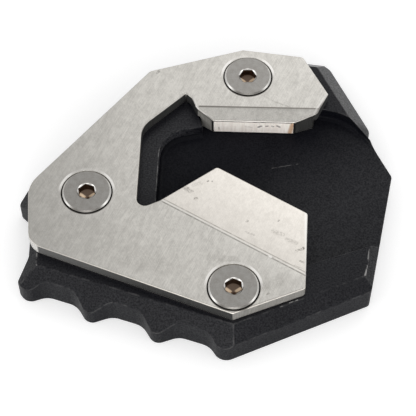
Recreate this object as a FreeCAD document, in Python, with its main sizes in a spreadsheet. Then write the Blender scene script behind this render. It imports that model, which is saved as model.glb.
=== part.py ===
import FreeCAD, Part
import math
import os
import Sketcher

# Every size of the part, in millimetres and degrees
SIZES = {
    # heights
    "base_height": 10.5,
    "pocket_depth": 3.5,
    "plate_thickness": 3.5,
    "slope_angle": 45.0,
    # boss top, corner by corner
    "boss_left_x": -41.4, "boss_left_y": -23.25,
    "boss_low_x": 6.4, "boss_low_y": -39.55,
    "boss_right_x": 38.4, "boss_right_y": -26.35,
    "boss_side_x": 45.4, "boss_side_y": 3.05,
    "boss_tongue_x": 29.45, "boss_tongue_y": 37.7,
    "boss_top_x": 9.7, "boss_top_y": 40.75,
    "boss_rear_x": -12.9, "boss_rear_y": 34.25,
    "boss_heel_x": -41.8, "boss_heel_y": -0.75,
    # outline of the base, corner by corner
    "right_low_x": 40.16, "right_low_y": -28.98, "right_low_radius": 1.2,
    "right_mid_x": 47.43, "right_mid_y": 4.89, "right_mid_radius": 1.5,
    "waist_x": 41.87, "waist_y": 16.95, "waist_radius": 0.5,
    "tongue_x": 42.85, "tongue_y": 19.7, "tongue_radius": 3.6,
    "tongue_top_x": 33.3, "tongue_top_y": 40.45, "tongue_top_radius": 1.8,
    "back_top_x": 10.0, "back_top_y": 44.05, "back_top_radius": 2.0,
    "back_left_x": -15.73, "back_left_y": 36.5, "back_left_radius": 3.0,
    "heel_x": -47.9, "heel_y": -2.45, "heel_radius": 1.5,
    "bay_high_x": -43.7, "bay_high_y": -6.55, "bay_radius": 2.5,
    "bay_low_x": -43.7, "bay_low_y": -19.75,
    "toe_side_x": -46.45, "toe_side_y": -25.3, "toe_side_radius": 1.2,
    "toe_tip_x": -44.35, "toe_tip_y": -28.25, "toe_tip_radius": 2.8,
    # grip scallops along the front left edge
    "scallop_start_x": -45.15, "scallop_start_y": -27.9,
    "scallop_pitch": 17.3,
    "scallop_angle": -18.82,
    "scallop_lead": 5.0,
    "scallop_tail": 4.5,
    "scallop_depth": 3.17,
    "scallop_crest": 0.75,
    "scallop_crest_radius": 2.5,
    "scallop_valley_radius": 4.9,
    "nose_lead": -0.35,
    "nose_out": 0.3,
    "nose_radius": 3.3,
    # foot pocket
    "pocket_left_x": -12.8, "pocket_left_y": -5.65, "pocket_left_radius": 3.0,
    "pocket_corner_x": -11.7, "pocket_corner_y": 16.05, "pocket_corner_radius": 7.5,
    "recess_left_x": -0.9, "recess_left_y": 18.15,
    "recess_gap": 0.6,
    "recess_right_x": 29.0, "recess_right_y": 24.13,
    "mouth_high_x": 36.76, "mouth_high_y": 22.08, "mouth_radius": 12.0,
    "mouth_exit_x": 42.1, "mouth_exit_y": 15.9,
    "mouth_low_x": 40.5, "mouth_low_y": -17.75,
    "pocket_low_x": 19.0, "pocket_low_y": -25.15, "pocket_low_radius": 4.0,
    "pocket_foot_radius": 1.2,
    # clamp plate outline, corner by corner
    "apex_x": 9.7, "apex_y": 40.75, "apex_radius": 0.6,
    "arm_top_x": 25.5, "arm_top_y": 38.35, "arm_top_radius": 1.2,
    "arm_side_x": 31.6, "arm_side_y": 26.15, "arm_side_radius": 0.4,
    "arm_end_x": 28.65, "arm_end_y": 20.25, "arm_end_radius": 1.6,
    "lip_right_x": 22.8, "lip_right_y": 18.25,
    "lip_left_x": 1.6, "lip_left_y": 18.95,
    "lip_root_x": -2.67, "lip_root_y": 21.85, "lip_root_radius": 1.8,
    "notch_side_x": -3.7, "notch_side_y": 24.75, "notch_side_radius": 1.2,
    "notch_tip_x": -5.3, "notch_tip_y": 26.35,
    "notch_bend_x": -16.45, "notch_bend_y": 15.8, "notch_bend_radius": 6.4,
    "notch_end_x": -17.35, "notch_end_y": -9.45, "notch_end_radius": 2.0,
    "finger_root_x": -11.5, "finger_root_y": -6.75,
    "finger_tip_x": 2.7, "finger_tip_y": 4.6, "finger_tip_radius": 1.0,
    "finger_side_x": 25.15, "finger_side_y": -9.35, "finger_side_radius": 1.0,
    "plate_right_x": 23.65, "plate_right_y": -31.8, "plate_right_radius": 1.0,
    "plate_low_x": 6.2, "plate_low_y": -38.65, "plate_low_radius": 0.8,
    "plate_toe_x": -43.3, "plate_toe_y": -19.05, "plate_toe_radius": 5.0,
    "plate_heel_x": -44.45, "plate_heel_y": -2.15, "plate_heel_radius": 8.0,
    "plate_rear_x": -14.8, "plate_rear_y": 33.7, "plate_rear_radius": 2.0,
    # lip and bevels of the clamp plate
    "lip_left_share": 0.74,
    "lip_right_share": 0.87,
    "lip_back": 0.4,
    "lip_floor_gap": 0.1,
    "arm_bevel_run": 3.3,
    "arm_bevel_drop": 2.0,
    "finger_bevel_run": 17.1,
    "finger_bevel_drop": 2.0,
    "arm_bevel_lead": 6.0,
    "finger_bevel_lead": 8.0,
    "bevel_reach": 48.0,
    "bevel_margin": 1.5,
    # countersunk screws
    "screw_top_x": 10.84, "screw_top_y": 31.84, "screw_top_turn": 0.0,
    "screw_left_x": -29.71, "screw_left_y": -4.27, "screw_left_turn": 41.0,
    "screw_low_x": 6.49, "screw_low_y": -31.38, "screw_low_turn": 35.0,
    "screw_radius": 3.0,
    "screw_length": 10.0,
    "head_radius": 6.1,
    "head_rim": 0.68,
    "head_edge": 0.35,
    "head_proud": 0.35,
    "shank_chamfer": 0.6,
    "hex_width": 4.0,
    "hex_depth": 2.3,
    "hex_point_depth": 0.6,
    "hex_mouth": 0.1,
    "seat_gap": 0.02,
    "plate_hole_radius": 3.3,
    "thread_gap": 0.05,
    "thread_depth": 8.5,
}

SHEET = "Sizes"
CLEAR = ("70", 70.0)
ZERO = 1e-4
WALL_PROBE = 0.5
SCREW_NAMES = ["top", "left", "low"]
HEX_SIDES = 6
HEAD_ANGLE = 90.0
SCALLOPS = 3

doc = FreeCAD.newDocument("kickstand_foot")
sheet = doc.addObject("Spreadsheet::Sheet", SHEET)
for row, (alias, value) in enumerate(SIZES.items(), start=1):
    sheet.set("A" + str(row), alias)
    sheet.set("B" + str(row), str(value))
    sheet.setAlias("B" + str(row), alias)
doc.recompute()


def size(alias):
    """A size with its expression and its number."""
    return (SHEET + "." + alias, SIZES[alias])


def spot(name):
    """The x and y sizes of a named corner."""
    return (size(name + "_x"), size(name + "_y"))


def bind(thing, prop, pair):
    """Let a property follow an expression."""
    thing.setExpression(prop, pair[0])


def origin_plane(body, role):
    """The body's own origin plane with that role."""
    return [f for f in body.Origin.OriginFeatures if f.Role == role][0]


def flat_sketch(body, name, level=None):
    """A sketch that lies level in the body, at the given height."""
    sketch = body.newObject("Sketcher::SketchObject", name)
    sketch.AttachmentSupport = [(origin_plane(body, "XY_Plane"), "")]
    sketch.MapMode = "FlatFace"
    if level is not None:
        sketch.setExpression("AttachmentOffset.Base.z", level)
    return sketch


def place_rules(geo, end, place):
    """Rules that fix a point of a sketch at an x and a y that follow the sheet."""
    (x_rule, x_value), (y_rule, y_value) = place
    return [(Sketcher.Constraint("DistanceX", -1, 1, geo, end, x_value), x_rule),
            (Sketcher.Constraint("DistanceY", -1, 1, geo, end, y_value), y_rule)]


def apply_rules(sketch, rules):
    """Add constraints to a sketch in one go, each with its expression if it has one."""
    first = len(sketch.Constraints)
    sketch.addConstraint([rule[0] for rule in rules])
    for row, rule in enumerate(rules, start=first):
        if rule[1] is not None:
            sketch.setExpression("Constraints[" + str(row) + "]", rule[1])


def loop(sketch, corners):
    """A closed outline through corners, each given as place and radius (or None)."""
    count = len(corners)
    points = [FreeCAD.Vector(c[0][0][1], c[0][1][1], 0) for c in corners]
    cuts = []
    for i in range(count):
        here = points[i]
        back = (points[i - 1] - here).normalize()
        ahead = (points[(i + 1) % count] - here).normalize()
        radius = corners[i][1]
        if radius is None:
            cuts.append((here, here, None))
        else:
            half = back.getAngle(ahead) / 2
            reach = radius[1] / math.tan(half)
            middle = here + (back + ahead).normalize() * (radius[1] / math.sin(half))
            cuts.append((here + back * reach, here + ahead * reach, middle))
    lines = []
    for i in range(count):
        start = cuts[i][1]
        stop = cuts[(i + 1) % count][0]
        lines.append(sketch.addGeometry(Part.LineSegment(start, stop), False))
    rules = []
    for i in range(count):
        before = lines[i - 1]
        after = lines[i]
        place, radius = corners[i]
        if radius is None:
            rules.append((Sketcher.Constraint("Coincident", before, 2, after, 1), None))
            rules = rules + place_rules(after, 1, place)
        else:
            first, last, middle = cuts[i]
            turns_left = (first - middle).cross(last - middle).z > 0
            begin, stop = (first, last) if turns_left else (last, first)
            near = 1 if turns_left else 2
            circle = Part.Circle(middle, FreeCAD.Vector(0, 0, 1), radius[1])
            start_angle = math.atan2(begin.y - middle.y, begin.x - middle.x)
            stop_angle = math.atan2(stop.y - middle.y, stop.x - middle.x)
            drawn = Part.ArcOfCircle(circle, start_angle, stop_angle)
            arc = sketch.addGeometry(drawn, False)
            point = sketch.addGeometry(Part.Point(points[i]), True)
            rules.append((Sketcher.Constraint("Tangent", before, 2, arc, near), None))
            rules.append((Sketcher.Constraint("Tangent", after, 1, arc, 3 - near), None))
            rules.append((Sketcher.Constraint("PointOnObject", point, 1, before), None))
            rules.append((Sketcher.Constraint("PointOnObject", point, 1, after), None))
            rules.append((Sketcher.Constraint("Radius", arc, radius[1]), radius[0]))
            rules = rules + place_rules(point, 1, place)
    apply_rules(sketch, rules)


def ring(sketch, place, radius):
    """A circle whose centre and radius follow the sheet."""
    centre = FreeCAD.Vector(place[0][1], place[1][1], 0)
    circle = sketch.addGeometry(Part.Circle(centre, FreeCAD.Vector(0, 0, 1), radius[1]), False)
    rules = [(Sketcher.Constraint("Radius", circle, radius[1]), radius[0])]
    apply_rules(sketch, rules + place_rules(circle, 3, place))


def border(sketch):
    """A wide square around everything, for a cut that keeps what is inside the outline."""
    low = ("-" + CLEAR[0], -CLEAR[1])
    loop(sketch, [((low, low), None), ((CLEAR, low), None),
                  ((CLEAR, CLEAR), None), ((low, CLEAR), None)])


def finish(body, feature):
    """Make a feature the body's last one and work it out."""
    body.Tip = feature
    doc.recompute()
    return feature


def pad(body, sketch, name, length, downwards=False):
    """Raise a sketch by a length, up or down."""
    feature = body.newObject("PartDesign::Pad", name)
    feature.Profile = sketch
    feature.Length = length[1]
    feature.Reversed = downwards
    bind(feature, "Length", length)
    return finish(body, feature)


def cut(body, sketch, name, length=None, upwards=False, both=False):
    """Cut a sketch out of the body, to a depth or all the way."""
    feature = body.newObject("PartDesign::Pocket", name)
    feature.Profile = sketch
    feature.Reversed = upwards
    feature.Midplane = both
    if length is None:
        feature.Type = "ThroughAll"
    else:
        feature.Length = length[1]
        bind(feature, "Length", length)
    return finish(body, feature)


def scallop_place(step, along, out):
    """A corner of the scalloped edge: crest number, distance along and distance outwards."""
    turn = math.radians(SIZES["scallop_angle"])
    run = step * SIZES["scallop_pitch"] + along[1]
    x_value = SIZES["scallop_start_x"] + run * math.cos(turn) + out[1] * math.sin(turn)
    y_value = SIZES["scallop_start_y"] + run * math.sin(turn) - out[1] * math.cos(turn)
    run_rule = "(" + str(step) + " * Sizes.scallop_pitch + " + along[0] + ")"
    x_rule = ("Sizes.scallop_start_x + " + run_rule + " * cos(Sizes.scallop_angle * 1 deg) + ("
              + out[0] + ") * sin(Sizes.scallop_angle * 1 deg)")
    y_rule = ("Sizes.scallop_start_y + " + run_rule + " * sin(Sizes.scallop_angle * 1 deg) - ("
              + out[0] + ") * cos(Sizes.scallop_angle * 1 deg)")
    return ((x_rule, x_value), (y_rule, y_value))


def blend(start, end, share):
    """The place that lies a share of the way from one place to another."""
    pairs = []
    for a, b in zip(start, end):
        rule = a[0] + " + " + share[0] + " * (" + b[0] + " - " + a[0] + ")"
        pairs.append((rule, a[1] + share[1] * (b[1] - a[1])))
    return tuple(pairs)


def more(first, second):
    """One size and another added up."""
    return (first[0] + " + " + second[0], first[1] + second[1])


def less(first, *others):
    """One size less some others."""
    rule = first[0]
    value = first[1]
    for other in others:
        rule = rule + " - (" + other[0] + ")"
        value = value - other[1]
    return (rule, value)


def beyond(start, end, reach):
    """The place a reach past the end of the line from start to end."""
    dx = end[0][1] - start[0][1]
    dy = end[1][1] - start[1][1]
    length = math.hypot(dx, dy)
    dx_rule = "(" + end[0][0] + " - " + start[0][0] + ")"
    dy_rule = "(" + end[1][0] + " - " + start[1][0] + ")"
    length_rule = "sqrt(" + dx_rule + " ^ 2 + " + dy_rule + " ^ 2)"
    x_rule = end[0][0] + " + " + reach[0] + " * " + dx_rule + " / " + length_rule
    y_rule = end[1][0] + " + " + reach[0] + " * " + dy_rule + " / " + length_rule
    return ((x_rule, end[0][1] + reach[1] * dx / length),
            (y_rule, end[1][1] + reach[1] * dy / length))


def faces_between(feature, low, high):
    """Names of the faces whose lowest and highest points lie at two heights."""
    names = []
    for number, face in enumerate(feature.Shape.Faces, start=1):
        box = face.BoundBox
        if abs(box.ZMin - low) < ZERO and abs(box.ZMax - high) < ZERO:
            names.append("Face" + str(number))
    return names


def wall_feet(feature, level, apart):
    """Names of the floor edges with a wall above them, but not those between two given places."""
    names = []
    for number, edge in enumerate(feature.Shape.Edges, start=1):
        ends = [edge.valueAt(edge.FirstParameter), edge.valueAt(edge.LastParameter)]
        if max(abs(end.z - level) for end in ends) > ZERO:
            continue
        middle = edge.valueAt((edge.FirstParameter + edge.LastParameter) / 2)
        above = Part.Vertex(middle + FreeCAD.Vector(0, 0, WALL_PROBE))
        if feature.Shape.distToShape(above)[0] > ZERO:
            continue
        hidden = 0
        for end in ends:
            for place in apart:
                if math.hypot(end.x - place[0][1], end.y - place[1][1]) < WALL_PROBE:
                    hidden = hidden + 1
        if hidden < len(ends):
            names.append("Edge" + str(number))
    return names


# Base: a block with sloped sides, trimmed to the scalloped outline
base = doc.addObject("PartDesign::Body", "base")
base.Label = "base"

boss_sketch = flat_sketch(base, "boss_outline", "Sizes.base_height")
BOSS_CORNERS = ["boss_left", "boss_low", "boss_right", "boss_side",
                "boss_tongue", "boss_top", "boss_rear", "boss_heel"]
loop(boss_sketch, [(spot(name), None) for name in BOSS_CORNERS])
boss = pad(base, boss_sketch, "boss_block", size("base_height"), downwards=True)
slopes = base.newObject("PartDesign::Draft", "slopes")
slopes.Base = (boss, faces_between(boss, 0, SIZES["base_height"]))
slopes.NeutralPlane = (boss, faces_between(boss, SIZES["base_height"], SIZES["base_height"]))
bind(slopes, "Angle", size("slope_angle"))
finish(base, slopes)

outline_sketch = flat_sketch(base, "base_outline", "Sizes.base_height")
front = [(spot("toe_side"), size("toe_side_radius")), (spot("toe_tip"), size("toe_tip_radius"))]
valley = size("scallop_valley_radius")
crest = size("scallop_crest_radius")
near = size("scallop_lead")
far = ("Sizes.scallop_pitch - Sizes.scallop_tail",
       SIZES["scallop_pitch"] - SIZES["scallop_tail"])
inward = ("-Sizes.scallop_depth", -SIZES["scallop_depth"])
outward = size("scallop_crest")
zero = ("0", 0.0)
for step in range(SCALLOPS):
    front.append((scallop_place(step, near, inward), valley))
    front.append((scallop_place(step, far, inward), valley))
    if step < SCALLOPS - 1:
        front.append((scallop_place(step + 1, zero, outward), crest))
front.append((scallop_place(SCALLOPS, size("nose_lead"), size("nose_out")), size("nose_radius")))
rest = ["right_low", "right_mid", "waist", "tongue", "tongue_top",
        "back_top", "back_left", "heel"]
sides = [(spot(name), size(name + "_radius")) for name in rest]
bay = [(spot("bay_high"), size("bay_radius")), (spot("bay_low"), size("bay_radius"))]
loop(outline_sketch, front + sides + bay)
border(outline_sketch)
cut(base, outline_sketch, "trim")

# Ends and back of the clamp plate's lip, which the recess in the base follows
left_end = blend(spot("lip_left"), spot("lip_root"), size("lip_left_share"))
right_end = blend(spot("lip_right"), spot("arm_end"), size("lip_right_share"))
lip_back = more(left_end[1], size("lip_back"))

# Foot pocket, open at the right
pocket_sketch = flat_sketch(base, "pocket_outline", "Sizes.base_height")
recess_back = (less(left_end[0], size("recess_gap")), more(lip_back, size("recess_gap")))
high_exit = beyond(spot("mouth_high"), spot("mouth_exit"), CLEAR)
low_exit = beyond(spot("pocket_low"), spot("mouth_low"), CLEAR)
pocket_corners = [
    (spot("pocket_left"), size("pocket_left_radius")),
    (spot("pocket_corner"), size("pocket_corner_radius")),
    (spot("recess_left"), None),
    (recess_back, None),
    (spot("recess_right"), None),
    (spot("mouth_high"), size("mouth_radius")),
    (high_exit, None),
    (low_exit, None),
    (spot("pocket_low"), size("pocket_low_radius")),
]
loop(pocket_sketch, pocket_corners)
foot_pocket = cut(base, pocket_sketch, "foot_pocket", size("pocket_depth"))
pocket_floor = SIZES["base_height"] - SIZES["pocket_depth"]
recess = [spot("recess_left"), recess_back, spot("recess_right")]
fillet = base.newObject("PartDesign::Fillet", "pocket_foot")
fillet.Base = (foot_pocket, wall_feet(foot_pocket, pocket_floor, recess))
bind(fillet, "Radius", size("pocket_foot_radius"))
finish(base, fillet)

# Threaded holes for the three screws
hole_sketch = flat_sketch(base, "thread_holes", "Sizes.base_height")
thread_radius = ("Sizes.screw_radius + Sizes.thread_gap", SIZES["screw_radius"] + SIZES["thread_gap"])
for name in SCREW_NAMES:
    ring(hole_sketch, spot("screw_" + name), thread_radius)
cut(base, hole_sketch, "thread_bores", size("thread_depth"))

# Clamp plate with a lip that hangs into the pocket
plate = doc.addObject("PartDesign::Body", "clamp_plate")
plate.Label = "clamp_plate"

plate_sketch = flat_sketch(plate, "plate_outline", "Sizes.base_height")
SHARP = ["lip_right", "lip_left", "notch_tip", "finger_root"]
PLATE_CORNERS = ["apex", "arm_top", "arm_side", "arm_end", "lip_right", "lip_left", "lip_root",
                 "notch_side", "notch_tip", "notch_bend", "notch_end", "finger_root",
                 "finger_tip", "finger_side", "plate_right", "plate_low", "plate_toe",
                 "plate_heel", "plate_rear"]
plate_loop = []
for name in PLATE_CORNERS:
    radius = None if name in SHARP else size(name + "_radius")
    plate_loop.append((spot(name), radius))
loop(plate_sketch, plate_loop)
pad(plate, plate_sketch, "plate_blank", size("plate_thickness"))

lip_sketch = flat_sketch(plate, "lip_outline", "Sizes.base_height")
loop(lip_sketch, [(left_end, None), (spot("lip_left"), None), (spot("lip_right"), None),
                  (right_end, None), ((right_end[0], lip_back), None),
                  ((left_end[0], lip_back), None)])
lip_rule = ("Sizes.pocket_depth - Sizes.lip_floor_gap",
            SIZES["pocket_depth"] - SIZES["lip_floor_gap"])
pad(plate, lip_sketch, "lip", lip_rule, downwards=True)


def bevel(name, start, end, run, drop, side):
    """Slope the top of the plate down to the edge that runs from start to end."""
    across = "atan2(" + end[1][0] + " - (" + start[1][0] + "); " + end[0][0] + " - (" + start[0][0] + "))"
    plane = plate.newObject("PartDesign::Plane", name + "_plane")
    plane.AttachmentSupport = [(origin_plane(plate, "YZ_Plane"), "")]
    plane.MapMode = "FlatFace"
    plane.AttachmentOffset = FreeCAD.Placement(
        FreeCAD.Vector(0, 0, 0), FreeCAD.Rotation(FreeCAD.Vector(0, 1, 0), 1))
    plane.setExpression("AttachmentOffset.Base.x", start[1][0])
    plane.setExpression("AttachmentOffset.Base.y", "Sizes.base_height + Sizes.plate_thickness")
    plane.setExpression("AttachmentOffset.Base.z", start[0][0])
    plane.setExpression("AttachmentOffset.Rotation.Angle", across)
    doc.recompute()
    sketch = plate.newObject("Sketcher::SketchObject", name + "_profile")
    sketch.AttachmentSupport = [(plane, "")]
    sketch.MapMode = "FlatFace"
    sign = str(side) + " * "
    margin = size("bevel_margin")
    slope = drop[1] / run[1]
    deep_rule = "-(" + drop[0] + " + " + margin[0] + " * " + drop[0] + " / " + run[0] + ")"
    deep = (deep_rule, -(drop[1] + margin[1] * slope))
    crease = (sign + run[0], side * run[1])
    outer = ("-" + sign + margin[0], -side * margin[1])
    loop(sketch, [((crease, zero), None), ((outer, deep), None),
                  ((outer, margin), None), ((crease, margin), None)])
    cut(plate, sketch, name, size("bevel_reach"), upwards=True)


arm_start = beyond(spot("lip_right"), spot("lip_left"), size("arm_bevel_lead"))
bevel("arm_bevel", arm_start, spot("lip_right"),
      size("arm_bevel_run"), size("arm_bevel_drop"), 1)
finger_start = beyond(spot("finger_side"), spot("finger_tip"), size("finger_bevel_lead"))
bevel("finger_bevel", finger_start, spot("finger_side"),
      size("finger_bevel_run"), size("finger_bevel_drop"), -1)

# Countersunk holes of the clamp plate
seat_sketch = flat_sketch(plate, "screw_seats", "Sizes.base_height + Sizes.plate_thickness")
for name in SCREW_NAMES:
    ring(seat_sketch, spot("screw_" + name), size("plate_hole_radius"))
doc.recompute()
seats = plate.newObject("PartDesign::Hole", "countersunk_holes")
seats.Profile = seat_sketch
seats.Threaded = False
seats.DepthType = "ThroughAll"
seats.HoleCutType = "Countersink"
seats.HoleCutCustomValues = True
seats.setExpression("Diameter", "2 * Sizes.plate_hole_radius")
SEAT_RULE = "2 * (Sizes.head_radius + Sizes.head_rim - Sizes.head_proud + Sizes.seat_gap)"
seats.setExpression("HoleCutDiameter", SEAT_RULE)
seats.HoleCutCountersinkAngle = HEAD_ANGLE
finish(plate, seats)


def hex_corner(number):
    """A corner of the hex socket, one of six."""
    angle = number * 2 * math.pi / HEX_SIDES
    reach = SIZES["hex_width"] / math.sqrt(3)
    turn = "(" + str(number) + " * 360 deg / " + str(HEX_SIDES) + ")"
    rule = "Sizes.hex_width / sqrt(3) * "
    return ((rule + "cos" + turn, reach * math.cos(angle)),
            (rule + "sin" + turn, reach * math.sin(angle)))


def upright_sketch(body, name):
    """A sketch on the body's own XZ plane."""
    sketch = body.newObject("Sketcher::SketchObject", name)
    sketch.AttachmentSupport = [(origin_plane(body, "XZ_Plane"), "")]
    sketch.MapMode = "FlatFace"
    return sketch


def spin(body, sketch, kind, name):
    """Turn a half section about the upright axis of its sketch."""
    feature = body.newObject("PartDesign::" + kind, name)
    feature.Profile = sketch
    feature.ReferenceAxis = (sketch, ["V_Axis"])
    return finish(body, feature)


def screw(name):
    """One countersunk screw with a hex socket, measured down from the plate's top."""
    body = doc.addObject("PartDesign::Body", "screw_" + name)
    body.Label = "screw_" + name
    top = size("head_proud")
    edge = less(top, size("head_edge"))
    flat = less(size("head_radius"), size("head_edge"))
    rim = less(top, size("head_rim"))
    neck = less(rim, less(size("head_radius"), size("screw_radius")))
    end = less(top, size("screw_length"))
    chamfer_top = less(zero, less(less(zero, end), size("shank_chamfer")))
    tip = less(size("screw_radius"), size("shank_chamfer"))
    profile = upright_sketch(body, "screw_" + name + "_profile")
    loop(profile, [((zero, top), None), ((flat, top), None), ((size("head_radius"), edge), None),
                   ((size("head_radius"), rim), None), ((size("screw_radius"), neck), None),
                   ((size("screw_radius"), chamfer_top), None), ((tip, end), None),
                   ((zero, end), None)])
    doc.recompute()
    spin(body, profile, "Revolution", "screw_" + name + "_blank")
    socket = flat_sketch(body, "screw_" + name + "_socket_outline", "Sizes.head_proud")
    loop(socket, [(hex_corner(number), None) for number in range(HEX_SIDES)])
    cut(body, socket, "screw_" + name + "_socket", size("hex_depth"))
    floor = less(top, size("hex_depth"))
    point = less(floor, size("hex_point_depth"))
    half = ("Sizes.hex_width / 2", SIZES["hex_width"] / 2)
    mouth = ("Sizes.hex_width / sqrt(3) + Sizes.hex_mouth",
             SIZES["hex_width"] / math.sqrt(3) + SIZES["hex_mouth"])
    low_mouth = less(mouth, ("2 * Sizes.hex_mouth", 2 * SIZES["hex_mouth"]))
    mouth_floor = less(top, ("2 * Sizes.hex_mouth", 2 * SIZES["hex_mouth"]))
    ends = upright_sketch(body, "screw_" + name + "_socket_ends")
    loop(ends, [((zero, top), None), ((mouth, top), None), ((low_mouth, mouth_floor), None),
                ((zero, mouth_floor), None)])
    loop(ends, [((zero, floor), None), ((half, floor), None), ((zero, point), None)])
    doc.recompute()
    spin(body, ends, "Groove", "screw_" + name + "_socket_mouth")
    body.Placement = FreeCAD.Placement(
        FreeCAD.Vector(0, 0, 0), FreeCAD.Rotation(FreeCAD.Vector(0, 0, 1), 1))
    body.setExpression("Placement.Base.x", "Sizes.screw_" + name + "_x")
    body.setExpression("Placement.Base.y", "Sizes.screw_" + name + "_y")
    body.setExpression("Placement.Base.z", "Sizes.base_height + Sizes.plate_thickness")
    body.setExpression("Placement.Rotation.Angle", "Sizes.screw_" + name + "_turn")
    doc.recompute()
    return body


pieces = [base, plate] + [screw(name) for name in SCREW_NAMES]
doc.recompute()

# Check every object and write each piece
for thing in doc.Objects:
    if "Invalid" in thing.State or "Error" in thing.State:
        raise RuntimeError(thing.Name + " is not valid: " + str(thing.State))

os.makedirs("parts", exist_ok=True)
for piece in pieces:
    shape = piece.Shape
    if shape.isNull() or not shape.isValid() or len(shape.Solids) != 1:
        raise RuntimeError(piece.Label + " is not one valid solid")
    shape.exportStep("parts/" + piece.Label + ".step")
    box = shape.BoundBox
    print(piece.Label, round(shape.Volume, 1), [round(v, 3) for v in
          (box.XMin, box.XMax, box.YMin, box.YMax, box.ZMin, box.ZMax)])
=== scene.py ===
import math

import bmesh
import bpy
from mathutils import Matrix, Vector


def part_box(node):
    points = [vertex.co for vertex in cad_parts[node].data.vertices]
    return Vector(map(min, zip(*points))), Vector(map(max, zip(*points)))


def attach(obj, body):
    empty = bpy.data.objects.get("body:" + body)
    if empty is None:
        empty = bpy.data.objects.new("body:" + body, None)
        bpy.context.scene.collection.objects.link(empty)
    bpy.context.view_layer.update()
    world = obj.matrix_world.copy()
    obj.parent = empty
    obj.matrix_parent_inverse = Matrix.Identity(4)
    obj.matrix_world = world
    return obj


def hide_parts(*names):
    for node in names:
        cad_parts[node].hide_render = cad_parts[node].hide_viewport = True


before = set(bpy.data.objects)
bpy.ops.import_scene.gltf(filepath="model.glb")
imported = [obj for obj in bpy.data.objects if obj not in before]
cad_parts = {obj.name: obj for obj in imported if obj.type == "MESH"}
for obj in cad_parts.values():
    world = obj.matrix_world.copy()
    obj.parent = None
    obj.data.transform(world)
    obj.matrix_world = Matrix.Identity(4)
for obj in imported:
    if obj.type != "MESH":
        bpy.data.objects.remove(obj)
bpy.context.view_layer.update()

# Sizes of the solids, in millimetres
MM = 0.001
SCREWS = ("screw_top", "screw_left", "screw_low")
POCKET_FLOOR = 7.0
BASE_TOP = 10.5
PLATE_TOP = 14.0
HEAD_RADIUS = 6.1
HEAD_TOP = 14.35

# Roundings of the edges, in millimetres
BASE_EDGE_BREAK = 0.22
PLATE_EDGE_BREAK = 0.3
SEAT_ROUNDING = 0.6

# What tells the edges apart: angles between their faces, and distances in millimetres
SEAM_ANGLE = math.radians(0.3)
CREASE_ANGLE = math.radians(3)
CORNER_ANGLE = math.radians(20)
SMOOTH_ANGLE = math.radians(32)
SEAT_MARGIN = 0.5
SAME_PLACE = 0.001
SAME_HEIGHT = 0.01

# What tells the faces apart: shares of their normals, and the lip's range in millimetres
LOOKS_UP = 0.6
LIES_LEVEL = 0.5
SQUARE_TO_FRONT = 0.97
TOWARDS_FRONT = 0.4
BEFORE_LIP = 10.0
BEHIND_LIP = 21.5

# Material slots of the dressed pieces
FACE_SLOT = 0
EDGE_SLOT = 1
LIP_FACE_SLOT = 2
LIP_CORNER_SLOT = 3
CUT_SIDE_SLOT = 4


def middle(node):
    """The middle of a piece seen from above, in millimetres."""
    low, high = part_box(node)
    return (low + high) / 2 / MM


def rgb(red, green, blue):
    """A colour that lets no light through."""
    return (red, green, blue, 1.0)


def grey(value):
    return rgb(value, value, value)


# Finishes: sums on node outputs, written as Python
class Signal:
    """One output of a node in a finish."""

    def __init__(self, finish, socket):
        self.finish = finish
        self.socket = socket

    def maths(self, operation, *values):
        return self.finish.node("ShaderNodeMath", {"operation": operation}, *values)

    def __add__(self, other):
        return self.maths("ADD", self, other)

    def __radd__(self, other):
        return self.maths("ADD", other, self)

    def __sub__(self, other):
        return self.maths("SUBTRACT", self, other)

    def __rsub__(self, other):
        return self.maths("SUBTRACT", other, self)

    def __mul__(self, other):
        return self.maths("MULTIPLY", self, other)

    def __rmul__(self, other):
        return self.maths("MULTIPLY", other, self)

    def __truediv__(self, other):
        return self.maths("DIVIDE", self, other)

    def __rtruediv__(self, other):
        return self.maths("DIVIDE", other, self)

    def at_most(self, other):
        return self.maths("MINIMUM", self, other)

    def at_least(self, other):
        return self.maths("MAXIMUM", self, other)

    def decay(self, scale):
        """One at nought, falling off by that scale."""
        return self.maths("EXPONENT", self / -scale)

    def also(self, name):
        """Another output of the same node."""
        return Signal(self.finish, self.socket.node.outputs[name])


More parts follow.
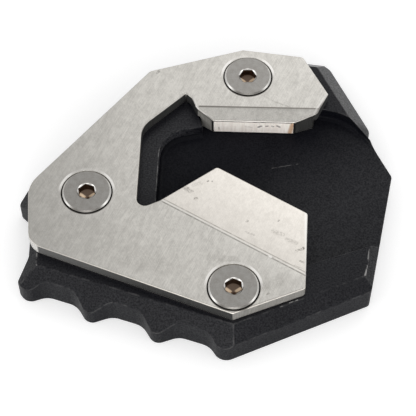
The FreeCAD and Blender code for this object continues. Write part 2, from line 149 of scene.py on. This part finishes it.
class Finish:
    """A material whose nodes are made one by one."""

    def __init__(self, tree):
        self.tree = tree
        tree.nodes.clear()

    def node(self, kind, settings=None, *values, **named):
        """A node of that kind, with its settings first and then its sockets' values or links."""
        made = self.tree.nodes.new(kind)
        for key, value in (settings or {}).items():
            setattr(made, key, value)
        shown = [socket for socket in made.inputs if socket.enabled]
        pairs = list(zip(shown, values))
        for key, value in named.items():
            pairs.append((made.inputs[key.replace("_", " ")], value))
        for socket, value in pairs:
            if isinstance(value, Signal):
                self.tree.links.new(value.socket, socket)
            else:
                socket.default_value = value
        outputs = [socket for socket in made.outputs if socket.enabled]
        return Signal(self, outputs[0]) if outputs else None

    def blend(self, share, first, second):
        """A colour between two colours."""
        return self.node("ShaderNodeMix", {"data_type": "RGBA"}, share, first, second)

    def place(self):
        """The place on the piece, in millimetres."""
        coordinates = self.node("ShaderNodeTexCoord").also("Object")
        return self.vector("SCALE", coordinates, Scale=1 / MM)

    def vector(self, operation, *values, output="Vector", **named):
        """Maths on vectors, with the output that is wanted of it."""
        made = self.node("ShaderNodeVectorMath", {"operation": operation}, *values, **named)
        return made.also(output)

    def part(self, vector, axis):
        """One axis of a vector."""
        return self.node("ShaderNodeSeparateXYZ", None, vector).also(axis)

    def noise(self, place, size, detail=2.0, roughness=0.5, warp=0.0):
        """Noise about 0.5, with features of that size in millimetres."""
        return self.node("ShaderNodeTexNoise", None, Vector=place, Scale=1.0 / size,
                         Detail=detail, Roughness=roughness, Distortion=warp)

    def turned(self, place, angle, along, across):
        """The place, turned by an angle in the plate's plane and stretched along it."""
        return self.node("ShaderNodeMapping", {"vector_type": "TEXTURE"}, Vector=place,
                         Rotation=(0.0, 0.0, math.radians(angle)), Scale=(along, across, across))

    def ramp(self, value, low, high, from_value=0.0, to_value=1.0):
        """A smooth step from one value to another."""
        return self.node("ShaderNodeMapRange", {"interpolation_type": "SMOOTHSTEP"}, value,
                         low, high, from_value, to_value)

    def fade(self, value, low, high):
        """A smooth step from one to nought."""
        return self.ramp(value, low, high, 1.0, 0.0)

    def band(self, value, low_start, low_end, high_start, high_end):
        """One between two smooth steps, and nought beyond them."""
        return self.ramp(value, low_start, low_end) * self.fade(value, high_start, high_end)

    def spot(self, place, centre, radius, soft=0.6):
        """One inside a ball round a point, fading to nought at its edge."""
        distance = self.vector("DISTANCE", place, centre, output="Value")
        return self.fade(distance, radius * (1 - soft), radius)

    def stroke(self, place, start, end, width, soft=0.6):
        """One along a line between two points, fading to nought at its sides."""
        start = Vector(start).to_3d()
        run = Vector(end).to_3d() - start
        offset = self.vector("SUBTRACT", place, tuple(start))
        share = self.vector("DOT_PRODUCT", offset, tuple(run / run.length_squared), output="Value")
        along = self.vector("SCALE", tuple(run), Scale=share.at_least(0.0).at_most(1.0))
        distance = self.vector("DISTANCE", offset, along, output="Value")
        return self.fade(distance, width * (1 - soft) / 2, width / 2)

    def strokes(self, place, marks):
        """The strongest of several strokes, each with a start, an end, a width and a strength."""
        total = None
        for start, end, width, strength in marks:
            mark = self.stroke(place, start, end, width) * strength
            total = mark if total is None else total.at_least(mark)
        return total

    def surface(self, **sockets):
        """The material's surface, with its sockets named in words."""
        shader = self.node("ShaderNodeBsdfPrincipled", None, **sockets)
        self.node("ShaderNodeOutputMaterial", None, shader)


def material(name):
    made = bpy.data.materials.new(name)
    made.use_nodes = True
    return made, Finish(made.node_tree)


# Black anodised aluminium: painted edge highlights and rubbed lines, each with a start, an end, a
# width and a strength
EDGE_HIGHLIGHTS_AND_RUBS = [
    ((-9.67, 14.91, BASE_TOP), (-11.65, 12.14, BASE_TOP), 0.45, 0.4),
    ((-11.65, 12.14, BASE_TOP), (-12.16, 10.42, BASE_TOP), 0.45, 0.45),
    ((-12.16, 10.42, BASE_TOP), (-12.74, -4.52, BASE_TOP), 0.45, 0.45),
    ((40.84, -18.26, BASE_TOP), (38.42, -26.18, BASE_TOP), 0.5, 1.0),
    ((-41.53, -19.98, BASE_TOP), (-41.32, -23.24, BASE_TOP), 0.6, 0.6),
    ((16.83, 7.55, POCKET_FLOOR), (24.85, 9.11, POCKET_FLOOR), 0.25, 0.35),
    ((17.6, -35.0, BASE_TOP), (18.2, -34.7, BASE_TOP), 0.3, 0.6),
    ((19.9, -33.8, BASE_TOP), (21.9, -33.0, BASE_TOP), 0.35, 1.0),
    ((39.9, -18.6, 10.4), (38.7, -26.1, 10.4), 0.4, 1.0),
]
DEEP_BLACK = rgb(0.0032, 0.0034, 0.0052)
PALE_BLACK = rgb(0.0105, 0.0107, 0.0138)
PAINTED_WALL_LIGHT = rgb(0.075, 0.075, 0.082)
BARE_METAL_AND_HIGHLIGHT = rgb(0.26, 0.255, 0.25)
GRAIN_DEPTH = 0.00004
POCKET_MIDDLE = (12.0, 0.0, POCKET_FLOOR)
POCKET_CORNER = (-6.0, 5.0, 9.0)
NOTCH_FLOOR = (-14.0, 10.0, BASE_TOP)
TONGUE_FILLET = (31.0, 13.0, 8.0)
TONGUE_TIP = (41.8, 18.2, 8.0)


def anodised_colour(f, place, normal, grain, rubbed):
    """Near black, with painted light on the pocket's corner wall and painted highlights on edges,
    paler where rubbed.
    """
    upward = f.part(normal, "Z")
    level = f.ramp(upward, 0.8, 0.95)
    cloud = f.noise(place, 11.0, 3.0, 0.5)
    wear = f.noise(place, 2.2, 4.0, 0.65)
    tone = f.ramp(grain * (0.45 + level * 0.3) + cloud * 0.3, 0.3, 0.7)
    colour = f.blend(tone, DEEP_BLACK, PALE_BLACK)
    # Painted light: the pocket's corner wall is made paler, as if lit.
    wall = f.band(f.part(place, "Z"), 7.2, 8.2, 10.3, 10.45) * f.fade(upward, 0.1, 0.4)
    wall = wall * f.spot(place, POCKET_CORNER, 14.5, 0.3)
    colour = f.blend(wall * f.ramp(grain, 0.35, 0.65), colour, PAINTED_WALL_LIGHT)
    # Painted highlights along the pocket's and the boss's edges, and a scratch on the pocket
    # floor, in bare metal's grey.
    rubs_and_highlights = f.strokes(place, EDGE_HIGHLIGHTS_AND_RUBS) * f.ramp(wear, 0.4, 0.55)
    edge = f.ramp(wear, 0.4, 0.68) * rubbed
    return f.blend(rubs_and_highlights.at_least(edge), colour, BARE_METAL_AND_HIGHLIGHT)


def anodised_sheen_with_painted_light(f, place, normal, grain):
    """The coat's sheen, with painted light and shade: stronger on faces turned back or right and
    on the notch's floor; weaker on upright faces, on faces turned front and right, in the pocket,
    at the tongue's tip and on its fillet.
    """
    height = f.part(place, "Z")
    rightward = f.part(normal, "X")
    backward = f.part(normal, "Y")
    # Painted light: more sheen on faces turned back or right.
    facing_back = f.ramp(backward, 0.15, 0.45)
    facing_right = f.ramp(rightward, 0.3, 0.6) * 0.5
    sheen = 0.42 + facing_back.at_least(facing_right) * 0.5
    # Painted shade: less sheen on upright faces.
    sheen = sheen * f.ramp(f.part(normal, "Z"), 0.2, 0.6, 0.62, 1.0)
    # Painted shade in the pocket, darkest towards its back left.
    across = f.part(place, "X") * 0.5 - f.part(place, "Y") * 0.87
    pocket_shade = f.ramp(across, -6.0, 22.0, 0.06, 0.42)
    deep = f.ramp(height, 7.5, 8.4)
    inside = f.spot(place, POCKET_MIDDLE, 34.0, 0.02) * (1.0 - deep)
    sheen = sheen * (1.0 - inside) + pocket_shade * inside
    # Painted shade on faces turned front and right, at the tongue's tip and on its fillet; painted
    # light on the notch's floor.
    front_right_shade = f.ramp(rightward, 0.1, 0.4) * f.fade(backward, -0.3, 0.0)
    sheen = sheen * (1.0 - front_right_shade * 0.3)
    sheen = sheen * (1.0 - f.spot(place, TONGUE_TIP, 4.2, 0.7) * 0.42)
    fillet = f.band(height, 7.01, 7.1, 8.0, 9.0)
    sheen = sheen * (1.0 - fillet * f.spot(place, TONGUE_FILLET, 13.0, 0.4) * 0.7)
    sheen = sheen * (1.0 + f.spot(place, NOTCH_FLOOR, 16.0, 0.5) * 0.4)
    return sheen * f.ramp(grain, 0.3, 0.7, 0.55, 1.6)


def black_anodised(name, rubbed):
    """Black anodising, its colour rubbed off the edges by the share rubbed, with painted light and
    shade.
    """
    made, f = material(name)
    place = f.place()
    normal = f.node("ShaderNodeNewGeometry").also("Normal")
    grain = f.noise(place, 0.42, 3.0, 0.7)
    bump = f.node("ShaderNodeBump", None, Strength=0.12, Distance=GRAIN_DEPTH, Height=grain)
    f.surface(Base_Color=anodised_colour(f, place, normal, grain, rubbed),
              Coat_Weight=anodised_sheen_with_painted_light(f, place, normal, grain), Normal=bump,
              Roughness=0.5, IOR=1.08, Coat_Roughness=0.36, Coat_IOR=1.5)
    return made


# Brushed stainless steel: each mark has a start, an end, a width and a strength
DARK_MARKS = [
    ((-12.9, 33.0), (-12.5, 33.5), 1.0, 0.7),
    ((-5.9, -2.4), (-4.0, -3.8), 1.3, 0.55),
    ((-5.0, -2.2), (-3.4, -3.6), 0.7, 0.6),
    ((-3.3, -1.6), (-1.4, -0.9), 1.6, 0.2),
    ((0.3, -0.2), (0.4, -0.1), 0.8, 0.9),
    ((1.3, -0.2), (1.4, -0.2), 0.7, 0.75),
    ((-2.8, -6.0), (-2.5, -5.8), 1.1, 0.8),
    ((9.9, -12.6), (10.1, -12.3), 0.8, 0.75),
    ((17.7, -12.1), (17.9, -11.9), 0.7, 0.6),
    ((16.4, -15.2), (18.6, -16.2), 1.8, 0.34),
    ((19.6, -17.6), (21.8, -18.6), 1.6, 0.34),
    ((23.4, -20.4), (23.6, -20.1), 1.0, 0.95),
    ((21.8, -20.9), (23.2, -20.5), 0.9, 0.65),
    ((22.6, -24.0), (23.4, -24.4), 0.8, 0.5),
    ((9.6, -15.8), (11.6, -16.6), 0.7, 0.4),
    ((15.9, -23.2), (16.4, -23.5), 0.8, 0.6),
    ((16.55, -23.76), (23.21, -26.27), 0.35, 0.4),
    ((14.41, 25.69), (17.6, 23.6), 0.6, 0.25),
    ((17.6, 23.6), (21.56, 21.82), 0.6, 0.3),
    ((13.6, -31.6), (17.4, -30.2), 3.4, 0.24),
    ((-19.0, -23.0), (-11.0, -25.5), 9.0, 0.16),
    ((-26.0, -14.0), (-20.0, -17.0), 7.0, 0.12),
    ((0.5, -23.4), (7.5, -23.8), 2.4, 0.2),
    ((14.4, -33.4), (14.9, -33.2), 0.7, 0.6),
    ((-7.0, 17.0), (-5.5, 20.5), 1.5, 0.12),
]
# Painted highlights along the plate's edges, and a bright speck.
HIGHLIGHT_MARKS = [
    ((-3.48, 24.4), (-1.66, 20.22), 0.7, 1.0),
    ((31.56, 26.34), (26.87, 18.94), 0.6, 0.6),
    ((24.66, -9.34), (23.95, -30.0), 0.9, 1.0),
    ((15.3, -22.9), (15.6, -23.1), 0.9, 1.0),
]
FINGER_CREASE = (Vector((-10.9, -7.2)), Vector((23.62, -28.21)))
ARM_CREASE = ((-1.79, 22.2), (28.77, 21.4))
DARK_STEEL = (0.545, 0.526, 0.488)
PALE_STEEL = (0.765, 0.742, 0.694)
ROUNDED_EDGE_SHADE = 0.04
BRUSHING_DEPTH = 0.00003
FINGER_BEVEL_LIGHT = rgb(0.93, 0.86, 0.785)
SPECK_COLOUR = rgb(0.25, 0.24, 0.22)
DARK_MARK_AND_CREASE_SHADE = rgb(0.16, 0.145, 0.125)
TOE_SHADE = rgb(0.2, 0.195, 0.185)
PAINTED_HIGHLIGHT_STEEL = rgb(0.82, 0.80, 0.76)
LIP_EDGE_SHADE = rgb(0.24, 0.23, 0.215)
SEAT_HIGHLIGHT = rgb(0.97, 0.95, 0.91)
SEAT_GAP_SHADE = rgb(0.045, 0.038, 0.033)


def beside_finger_crease(back):
    """The finger crease's ends, moved square to it by a distance towards the back."""
    start, end = FINGER_CREASE
    run = (end - start).normalized()
    square = Vector((-run.y, run.x)) * back
    return tuple(start + square), tuple(end + square)


def edge_shaded_steel(tone, edge_shade):
    """One end of the brushing's colour range, darker by the share of painted edge shade."""
    return rgb(*(channel - ROUNDED_EDGE_SHADE * edge_shade for channel in tone))


def marked(f, colour, flat, speck, mottle):
    """The steel with its dark marks, painted shade along the creases and towards the toe, and
    painted highlights.
    """
    dark = f.strokes(flat, DARK_MARKS) * f.ramp(speck, 0.4, 0.56)
    uneven = f.ramp(mottle, 0.35, 0.6, 0.4, 1.0)
    # Painted shade along the finger's crease and the arm's crease.
    front_line = f.stroke(flat, *beside_finger_crease(0.0), 0.45, 0.5) * uneven * 0.7
    back_line = f.stroke(flat, *beside_finger_crease(0.85), 0.38, 0.5) * uneven * 0.6
    arm_line = f.stroke(flat, *ARM_CREASE, 0.45, 0.5) * 0.75
    marks_and_shade = dark.at_least(front_line).at_least(back_line).at_least(arm_line)
    colour = f.blend(marks_and_shade, colour, DARK_MARK_AND_CREASE_SHADE)
    toward_toe = f.ramp(f.part(flat, "X"), -44.0, -12.0, 0.32, 0.0)
    colour = f.blend(toward_toe, colour, TOE_SHADE)
    # Painted highlights: the bright marks, and a line beside the finger's crease.
    bright = f.strokes(flat, HIGHLIGHT_MARKS)
    crease_highlight = f.stroke(flat, *beside_finger_crease(0.4), 0.42, 0.6) * 0.5
    return f.blend(bright.at_least(crease_highlight), colour, PAINTED_HIGHLIGHT_STEEL)


def seat_ring(f, colour, flat, centre):
    """The steel with a painted highlight on the seat's rounding and painted shade between one
    screw head and its seat.
    """
    around = f.vector("SUBTRACT", flat, (centre.x, centre.y, 0.0))
    distance = f.vector("LENGTH", around, output="Value")
    behind = f.part(f.vector("NORMALIZE", around), "Y")
    # Painted highlight on the seat's rounding, at its sides and back.
    halo = f.band(distance, HEAD_RADIUS + 0.2, HEAD_RADIUS + 0.35,
                  HEAD_RADIUS + 0.8, HEAD_RADIUS + 1.1)
    halo = halo * f.ramp(behind, -0.1, 0.35) * f.ramp(behind, 0.7, 0.9, 1.0, 0.2)
    colour = f.blend(halo * 0.9, colour, SEAT_HIGHLIGHT)
    # Painted shade round the head, wider at its front.
    gap = f.fade(distance + behind * 0.22, HEAD_RADIUS + 0.28, HEAD_RADIUS + 0.45)
    return f.blend(gap * 0.9, colour, SEAT_GAP_SHADE)


def brushed_plate(name, edge_shade):
    """Brushed steel with its marks, painted light and shade, and painted shade on rounded edges by
    the share given.
    """
    made, f = material(name)
    place = f.place()
    fine = f.noise(f.turned(place, 64.0, 3.2, 0.16), 1.0, 2.0, 0.6, 0.4)
    cross = f.noise(f.turned(place, 112.0, 2.2, 0.2), 1.0, 2.0, 0.6, 0.3)
    broad = f.noise(f.turned(place, 70.0, 5.0, 2.4), 1.0, 3.0, 0.6, 0.6)
    speck = f.noise(place, 0.45, 3.0, 0.75)
    mottle = f.noise(place, 1.5, 5.0, 0.75)
    tone = fine * 0.25 + cross * 0.15 + broad * 0.2 + mottle * 0.25 + speck * 0.15
    colour = f.blend(f.ramp(tone, 0.38, 0.62), edge_shaded_steel(DARK_STEEL, edge_shade),
                     edge_shaded_steel(PALE_STEEL, edge_shade))
    height = f.part(place, "Z")
    back = f.part(place, "Y")
    # Painted light: the finger's sloping bevel is made paler and warmer.
    finger = f.fade(height, 13.9, 13.99) * f.fade(back, 9.0, 12.0)
    colour = f.blend(finger, colour, f.blend(0.35, colour, FINGER_BEVEL_LIGHT))
    colour = f.blend(f.ramp(speck, 0.70, 0.78) * 0.35, colour, SPECK_COLOUR)
    flat = f.vector("MULTIPLY", place, (1.0, 1.0, 0.0))
    colour = marked(f, colour, flat, speck, mottle)
    # Painted shade on the rounded edges under the lip and at its right corner.
    lip_edge_shade = f.fade(height, 12.5, 12.9) * f.ramp(back, 12.0, 14.0)
    lip_corner = f.ramp(f.part(place, "X"), 21.5, 23.0) * f.band(back, 14.0, 16.0, 22.0, 24.0)
    colour = f.blend(lip_edge_shade.at_least(lip_corner) * edge_shade * 0.8, colour, LIP_EDGE_SHADE)
    for node in SCREWS:
        colour = seat_ring(f, colour, flat, middle(node))
    bump = f.node("ShaderNodeBump", None, Strength=0.2, Distance=BRUSHING_DEPTH,
                  Height=fine + cross * 0.4)
    f.surface(Base_Color=colour, Roughness=0.32, Metallic=1.0, Normal=bump)
    return made


# Cut sides of the clamp plate: marks on the lip's front face, in x and height
LIP_MARKS = [
    ((13.5, 0.0, 9.8), (14.2, 0.0, 10.3), 0.9, 0.9),
    ((15.4, 0.0, 10.2), (15.9, 0.0, 10.3), 0.7, 0.75),
    ((17.0, 0.0, 10.3), (17.3, 0.0, 10.1), 0.7, 0.75),
    ((18.3, 0.0, 10.5), (19.0, 0.0, 10.0), 0.8, 0.75),
    ((10.2, 0.0, 9.9), (11.6, 0.0, 9.6), 0.9, 0.2),
    ((-0.1, 0.0, 9.6), (0.7, 0.0, 8.6), 0.6, 0.4),
    ((3.2, 0.0, 9.2), (3.3, 0.0, 8.4), 0.6, 0.4),
]
LIP_STAIN = ((21.7, 0.0, 7.6), (22.3, 0.0, 12.0))
LIP_SMUDGE = rgb(0.12, 0.11, 0.10)
RUST_STAIN = rgb(0.48, 0.27, 0.13)
SIDE_SHADE_NEAR_TOE = rgb(0.13, 0.128, 0.124)
TOE_END_LIGHT = rgb(0.60, 0.585, 0.56)


def cut_steel(name, dark, pale, rust):
    """The matt sides of the plate, as cut, with upright streaks; its dark and pale ends make lit
    and shaded copies.
    """
    made, f = material(name)
    place = f.place()
    streaks = f.noise(f.vector("MULTIPLY", place, (2.2, 2.2, 0.25)), 1.0, 3.0, 0.6, 0.3)
    stain = f.noise(place, 0.6, 3.0, 0.7)
    colour = f.blend(f.ramp(streaks, 0.3, 0.7), dark, pale)
    upright = f.vector("MULTIPLY", place, (1.0, 0.0, 1.0))
    back = f.part(place, "Y")
    at_lip = f.band(back, 9.0, 11.0, 20.0, 22.0)
    smudges = f.strokes(upright, LIP_MARKS) * f.ramp(stain, 0.3, 0.5) * at_lip
    colour = f.blend(smudges, colour, LIP_SMUDGE)
    tint = f.stroke(upright, *LIP_STAIN, 1.7, 0.7)
    colour = f.blend(tint * at_lip * rust, colour, RUST_STAIN)
    # Painted shade on the front sides, darker towards the toe, and painted light on the toe's end.
    across = f.part(place, "X")
    front = f.fade(back, -17.0, -15.0)
    colour = f.blend(front * f.ramp(across, -41.0, -8.0, 0.75, 0.0), colour, SIDE_SHADE_NEAR_TOE)
    colour = f.blend(front * f.fade(across, -41.3, -40.8), colour, TOE_END_LIGHT)
    f.surface(Base_Color=colour, Roughness=0.6, Specular_IOR_Level=0.2)
    return made


# Satin stainless steel of the screws
DARK_SATIN = rgb(0.31, 0.295, 0.275)
PALE_SATIN = rgb(0.365, 0.355, 0.335)
RIM_HIGHLIGHT = rgb(0.86, 0.845, 0.81)
RIM_SHADE = rgb(0.12, 0.11, 0.10)
SOCKET_MOUTH_HIGHLIGHT = rgb(0.95, 0.93, 0.90)
HEAD_SIDE_SHADE = rgb(0.05, 0.042, 0.036)
SOCKET_DIRT = rgb(0.17, 0.12, 0.09)
SOCKET_HIGHLIGHT = rgb(0.85, 0.66, 0.47)
WARM_SOCKET_HIGHLIGHTS = [
    ((-1.7, 0.55, -2.4), (-0.7, 0.0, -2.5), 1.1, 1.0),
    ((0.6, 0.1, -2.5), (1.6, 0.6, -2.4), 1.1, 0.9),
]


def satin_screw(name, centre):
    """A dull screw head: painted highlights on its rim, its socket's mouth and socket floor,
    painted shade at its front rim and its side, and a dirty socket.
    """
    made, f = material(name)
    place = f.vector("SUBTRACT", f.place(), (centre.x, centre.y, HEAD_TOP))
    cloud = f.noise(place, 1.6, 3.0, 0.6)
    speck = f.noise(place, 0.35, 2.0, 0.7)
    tone = f.ramp(cloud * 0.6 + speck * 0.4, 0.38, 0.62)
    colour = f.blend(tone, DARK_SATIN, PALE_SATIN)
    flat = f.vector("MULTIPLY", place, (1.0, 1.0, 0.0))
    distance = f.vector("LENGTH", flat, output="Value")
    depth = f.part(place, "Z")
    behind = f.part(f.vector("NORMALIZE", place), "Y")
    # Painted highlight on the rim, at its sides, faint at the back and none at the front.
    rim = f.ramp(distance, HEAD_RADIUS - 0.45, HEAD_RADIUS - 0.32) * f.ramp(depth, -0.4, -0.32)
    rim = rim * f.ramp(behind, -0.9, -0.5) * f.ramp(behind, 0.3, 0.8, 1.0, 0.1)
    colour = f.blend(rim, colour, RIM_HIGHLIGHT)
    front = f.ramp(distance, HEAD_RADIUS - 0.4, HEAD_RADIUS - 0.3) * f.fade(behind, -0.9, -0.6)
    colour = f.blend(front * 0.6, colour, RIM_SHADE)
    # Painted highlight on the socket's mouth, at its sides and back, none at its front.
    mouth = f.ramp(distance, 2.7, 2.45, 0.0, 1.0) * f.band(depth, -0.3, -0.22, -0.03, -0.01)
    mouth = mouth * f.ramp(behind, -0.3, 0.1) * f.ramp(behind, 0.8, 0.95, 1.0, 0.3)
    colour = f.blend(mouth, colour, SOCKET_MOUTH_HIGHLIGHT)
    side = f.fade(depth, -0.45, -0.36)
    # Painted shade on the head's side, below its top.
    colour = f.blend(side * f.ramp(distance, 2.6, 3.2) * 0.9, colour, HEAD_SIDE_SHADE)
    colour = f.blend(side * f.fade(distance, 2.4, 2.6), colour, SOCKET_DIRT)
    # Painted warm highlights on the socket's floor.
    colour = f.blend(f.strokes(place, WARM_SOCKET_HIGHLIGHTS), colour, SOCKET_HIGHLIGHT)
    f.surface(Base_Color=colour, Roughness=0.3, Metallic=1.0)
    return made


# Pieces: each from its own solid, with its edges broken
def crease(edge):
    """A crisp line where two faces that both look up meet."""
    return (all(face.normal.z > LOOKS_UP for face in edge.link_faces)
            and edge.calc_face_angle(0.0) > CREASE_ANGLE)


def base_width(edge):
    """The base's edges are all broken alike."""
    return BASE_EDGE_BREAK if edge.calc_face_angle(0.0) > CORNER_ANGLE else 0.0


def at_seat(places):
    """Whether an edge lies on the seat of one of the screws."""
    for node in SCREWS:
        centre = middle(node)
        if all(math.hypot(place.x - centre.x, place.y - centre.y) < HEAD_RADIUS + SEAT_MARGIN
               for place in places):
            return True
    return False


def plate_width(edge):
    """The plate's creases stay crisp, and its screw seats are rounded most."""
    if crease(edge) or edge.calc_face_angle(0.0) < CORNER_ANGLE:
        return 0.0
    places = [vertex.co / MM for vertex in edge.verts]
    if not at_seat(places):
        return PLATE_EDGE_BREAK
    top = all(abs(place.z - PLATE_TOP) < SAME_HEIGHT for place in places)
    return SEAT_ROUNDING if top else 0.0


def base_paint(face):
    """The base has one finish on all its faces."""
    return FACE_SLOT


def plate_paint(face):
    """The finish of one face: brushed above and below, cut at the sides in lit and shaded copies.
    """
    centre = face.calc_center_median() / MM
    if abs(face.normal.z) > LIES_LEVEL:
        return FACE_SLOT
    at_lip = BEFORE_LIP < centre.y < BEHIND_LIP
    if at_lip and face.normal.y < -SQUARE_TO_FRONT:
        return LIP_FACE_SLOT
    left_of_lip = at_lip and face.normal.x < 0.0
    right_of_toe = centre.y < 0.0 < face.normal.x
    if face.normal.y < -TOWARDS_FRONT and (left_of_lip or right_of_toe):
        return LIP_CORNER_SLOT
    return CUT_SIDE_SLOT


def broken_edges(node, name, finishes, paint, width):
    """A piece with the surface of a solid, whose edges are rounded by their own widths."""
    form = bmesh.new()
    form.from_mesh(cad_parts[node].data)
    bmesh.ops.remove_doubles(form, verts=form.verts, dist=SAME_PLACE * MM)
    bmesh.ops.dissolve_limit(form, angle_limit=SEAM_ANGLE, verts=form.verts, edges=form.edges)
    share = form.edges.layers.float.new("bevel_weight_edge")
    for face in form.faces:
        face.smooth = True
        face.material_index = paint(face)
    widths = {edge: width(edge) for edge in form.edges}
    widest = max(widths.values())
    for edge, broken in widths.items():
        edge[share] = broken / widest
        soft = edge.calc_face_angle(0.0) < SMOOTH_ANGLE and not crease(edge)
        edge.smooth = broken > 0 or soft
    mesh = bpy.data.meshes.new(name)
    form.to_mesh(mesh)
    form.free()
    piece = bpy.data.objects.new(name, mesh)
    bpy.context.scene.collection.objects.link(piece)
    for finish in finishes:
        mesh.materials.append(finish)
    rounding = piece.modifiers.new("broken_edges", "BEVEL")
    rounding.limit_method = "WEIGHT"
    rounding.width = widest * MM
    rounding.segments = 3
    rounding.material = EDGE_SLOT
    rounding.use_clamp_overlap = False
    rounding.loop_slide = False
    even = piece.modifiers.new("flat_faces", "WEIGHTED_NORMAL")
    even.keep_sharp = True
    even.weight = 100
    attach(piece, "root")
    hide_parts(node)


base_finishes = [
    black_anodised("black_anodised", 0.0),
    black_anodised("rubbed_black_edge", 0.13),
]
plate_finishes = [
    brushed_plate("brushed_stainless_plate", 0.0),
    # The rounded edges: the same steel with painted shade.
    brushed_plate("shaded_stainless_edge", 1.0),
    # Painted light and shade: the cut finish is lit on the lip's face, and shaded on the lip's
    # corners and the other sides.
    cut_steel("lit_lip_face_steel", rgb(0.84, 0.77, 0.71), rgb(0.96, 0.91, 0.85), 0.8),
    cut_steel("shaded_lip_corner_steel", rgb(0.19, 0.182, 0.167), rgb(0.25, 0.241, 0.225), 0.3),
    cut_steel("shaded_cut_side_steel", rgb(0.024, 0.024, 0.023), rgb(0.04, 0.0395, 0.038), 0.5),
]
broken_edges("base", "milled_base",
             base_finishes, base_paint, base_width)
broken_edges("clamp_plate", "stainless_clamp_plate",
             plate_finishes, plate_paint, plate_width)
for node in SCREWS:
    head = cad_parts[node]
    head.material_slots[0].link = "OBJECT"
    head.material_slots[0].material = satin_screw("satin_" + node, middle(node))


# Studio: a pale floor and soft light, each light with its aim, strength and spread
FLOOR_SIZE = 6.0
FLOOR_AS_LIT = grey(0.84)
FLOOR_AS_SEEN = grey(0.8)
FLOOR_GLOW = grey(0.42)
LIGHT_ALL_ROUND = 0.60
SOFT_LIGHTS = [
    ((0.27, 0.72, 0.64), 1.05, 0.0521),
    ((0.0, -0.95, 0.31), 0.9, 0.09),
    ((0.0, -0.99, 0.10), 5.2, 0.06),
    ((-0.87, -0.31, 0.39), 1.6, 0.04),
    ((0.87, -0.31, 0.39), 1.3, 0.04),
]


def pale_floor():
    """A floor that shows white to the camera and in reflections, and keeps the shadow."""
    bpy.ops.mesh.primitive_plane_add(size=FLOOR_SIZE, location=(0.0, 0.0, 0.0))
    plane = bpy.context.object
    plane.name = "floor"
    made, f = material("pale_floor")
    rays = f.node("ShaderNodeLightPath")
    seen = rays.also("Is Camera Ray").at_least(rays.also("Is Glossy Ray"))
    f.surface(Base_Color=f.blend(seen, FLOOR_AS_LIT, FLOOR_AS_SEEN),
              Roughness=0.9, Specular_IOR_Level=0.0,
              Emission_Color=f.blend(seen, grey(0.0), FLOOR_GLOW), Emission_Strength=1.0)
    plane.data.materials.append(made)


def studio_world():
    """Soft light all round, brighter behind, low in front and low at both sides."""
    world = bpy.data.worlds.new("studio")
    bpy.context.scene.world = world
    world.use_nodes = True
    f = Finish(world.node_tree)
    rays = f.node("ShaderNodeLightPath")
    direction = f.node("ShaderNodeTexCoord").also("Generated")
    glow = LIGHT_ALL_ROUND
    for toward, strength, spread in SOFT_LIGHTS:
        aim = tuple(Vector(toward).normalized())
        away = 1.0 - f.vector("DOT_PRODUCT", direction, aim, output="Value")
        glow = glow + away.decay(spread) * strength
    light = f.node("ShaderNodeBackground", None, grey(1.0), glow)
    white = f.node("ShaderNodeBackground", None, grey(1.0), 1.0)
    shown = f.node("ShaderNodeMixShader", None, rays.also("Is Camera Ray"), light, white)
    f.node("ShaderNodeOutputWorld", None, shown)


pale_floor()
studio_world()

# Camera, fitted to the photograph's frame
PICTURE_WIDTH = 416.0
FOCAL_PIXELS = 1450.0
SENSOR_WIDTH = 36.0
CAMERA_PLACE = (0.4, -202.2, 314.8)
CAMERA_ELEVATION = 57.3

view = bpy.data.cameras.new("camera")
view.sensor_width = SENSOR_WIDTH
view.sensor_fit = "HORIZONTAL"
view.lens = FOCAL_PIXELS * SENSOR_WIDTH / PICTURE_WIDTH
camera = bpy.data.objects.new("camera", view)
camera.location = [distance * MM for distance in CAMERA_PLACE]
camera.rotation_euler = (math.radians(90.0 - CAMERA_ELEVATION), 0.0, 0.0)
bpy.context.scene.collection.objects.link(camera)
bpy.context.scene.camera = camera
bpy.context.scene.view_settings.view_transform = "Standard"
